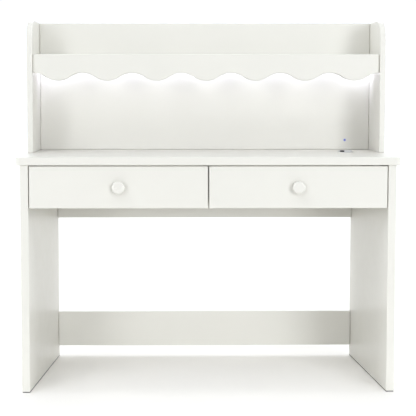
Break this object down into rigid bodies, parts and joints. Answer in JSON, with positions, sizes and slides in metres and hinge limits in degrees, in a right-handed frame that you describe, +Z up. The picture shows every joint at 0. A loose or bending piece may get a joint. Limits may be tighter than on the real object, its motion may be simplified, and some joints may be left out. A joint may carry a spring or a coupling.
{
  "type": "student desk with hutch",
  "caption": "White panel-leg student desk with knob-pull drawers on telescopic slides, a hutch with a lit shelf behind a scalloped valance, and a turning cable grommet in the desktop.",
  "frame": {"origin": "on the floor, under the middle of the whole outline", "axes": "+X to the right as seen by someone sitting at the desk, +Y towards the hutch back, +Z up"},
  "size_m": [1.2, 0.523, 1.19],
  "materials": {
    "white_paint": "satin white paint on fibreboard",
    "drawer_board": "white melamine board",
    "drawer_bottom": "white-faced hardboard",
    "white_knob": "satin white lacquer on turned wood",
    "beech": "plain fluted beech",
    "zinc_sheet": "zinc-plated",
    "zinc_screw": "bright zinc-plated",
    "cast_zinc": "die-cast zinc",
    "aluminium": "anodised",
    "circuit_strip": "white circuit strip with light chips",
    "diffuser": "opal diffuser",
    "white_plastic": "satin",
    "white_lead": "soft sheath",
    "blue_lens": "clear tinted",
    "black_plastic": "fine grain",
    "grey_plastic": "fine grain"
  },
  "bodies": {
    "desk": {"desktop": "white_paint", "left_leg": "white_paint", "right_leg": "white_paint", "back_rail": "white_paint", "stretcher": "white_paint", "drawer_divider": "white_paint", "left_slide_hanger": "white_paint", "right_slide_hanger": "white_paint", "hutch_left_side": "white_paint", "hutch_right_side": "white_paint", "hutch_back": "white_paint", "hutch_shelf": "white_paint", "shelf_valance": "white_paint", "foot_strips": "black_plastic", "slide_rail_screws": "zinc_screw", "cam_locks": "cast_zinc", "cam_bolts": "zinc_screw", "dowels": "beech", "divider_screws": "zinc_screw", "hutch_screws": "zinc_screw", "led_channel": "aluminium", "led_strip": "circuit_strip", "led_diffuser": "diffuser", "led_end_caps": "white_plastic", "led_lead": "white_lead", "lead_clips": "white_plastic", "sensor_barrel": "white_plastic", "sensor_lens": "blue_lens", "sensor_module": "black_plastic", "power_inlet": "black_plastic", "grommet_sleeve": "grey_plastic", "left_drawer_left_slide_rail": "zinc_sheet", "left_drawer_right_slide_rail": "zinc_sheet", "right_drawer_left_slide_rail": "zinc_sheet", "right_drawer_right_slide_rail": "zinc_sheet"},
    "left_drawer": {"left_drawer_front": "white_paint", "left_drawer_side_left": "drawer_board", "left_drawer_side_right": "drawer_board", "left_drawer_back": "drawer_board", "left_drawer_bottom": "drawer_bottom", "left_drawer_knob": "white_knob", "left_knob_screw": "zinc_screw", "left_drawer_dowels": "beech", "left_drawer_screws": "zinc_screw", "left_drawer_runners": "zinc_sheet", "left_drawer_runner_screws": "zinc_screw"},
    "left_slide_middles": {"left_drawer_slide_middles": "zinc_sheet"},
    "right_drawer": {"right_drawer_front": "white_paint", "right_drawer_side_left": "drawer_board", "right_drawer_side_right": "drawer_board", "right_drawer_back": "drawer_board", "right_drawer_bottom": "drawer_bottom", "right_drawer_knob": "white_knob", "right_knob_screw": "zinc_screw", "right_drawer_dowels": "beech", "right_drawer_screws": "zinc_screw", "right_drawer_runners": "zinc_sheet", "right_drawer_runner_screws": "zinc_screw"},
    "right_slide_middles": {"right_drawer_slide_middles": "zinc_sheet"},
    "grommet_cap": {"grommet_cap": "grey_plastic"}
  },
  "joints": [
    {"name": "left_drawer_slide", "type": "slide", "parent": "desk", "child": "left_drawer", "axis": [0, -1, 0], "range_m": [0, 0.245]},
    {"name": "left_slide_middles_slide", "type": "slide", "parent": "desk", "child": "left_slide_middles", "axis": [0, -1, 0], "range_m": [0, 0.1225]},
    {"name": "right_drawer_slide", "type": "slide", "parent": "desk", "child": "right_drawer", "axis": [0, -1, 0], "range_m": [0, 0.245]},
    {"name": "right_slide_middles_slide", "type": "slide", "parent": "desk", "child": "right_slide_middles", "axis": [0, -1, 0], "range_m": [0, 0.1225]},
    {"name": "grommet_cap_turn", "type": "hinge", "parent": "desk", "child": "grommet_cap", "pos_m": [0.474, 0.0735, 0.745], "axis": [0, 0, 1], "continuous": true}
  ],
  "couplings": [
    {"joint": "left_slide_middles_slide", "follows": "left_drawer_slide", "ratio": 0.5},
    {"joint": "right_slide_middles_slide", "follows": "right_drawer_slide", "ratio": 0.5}
  ]
}
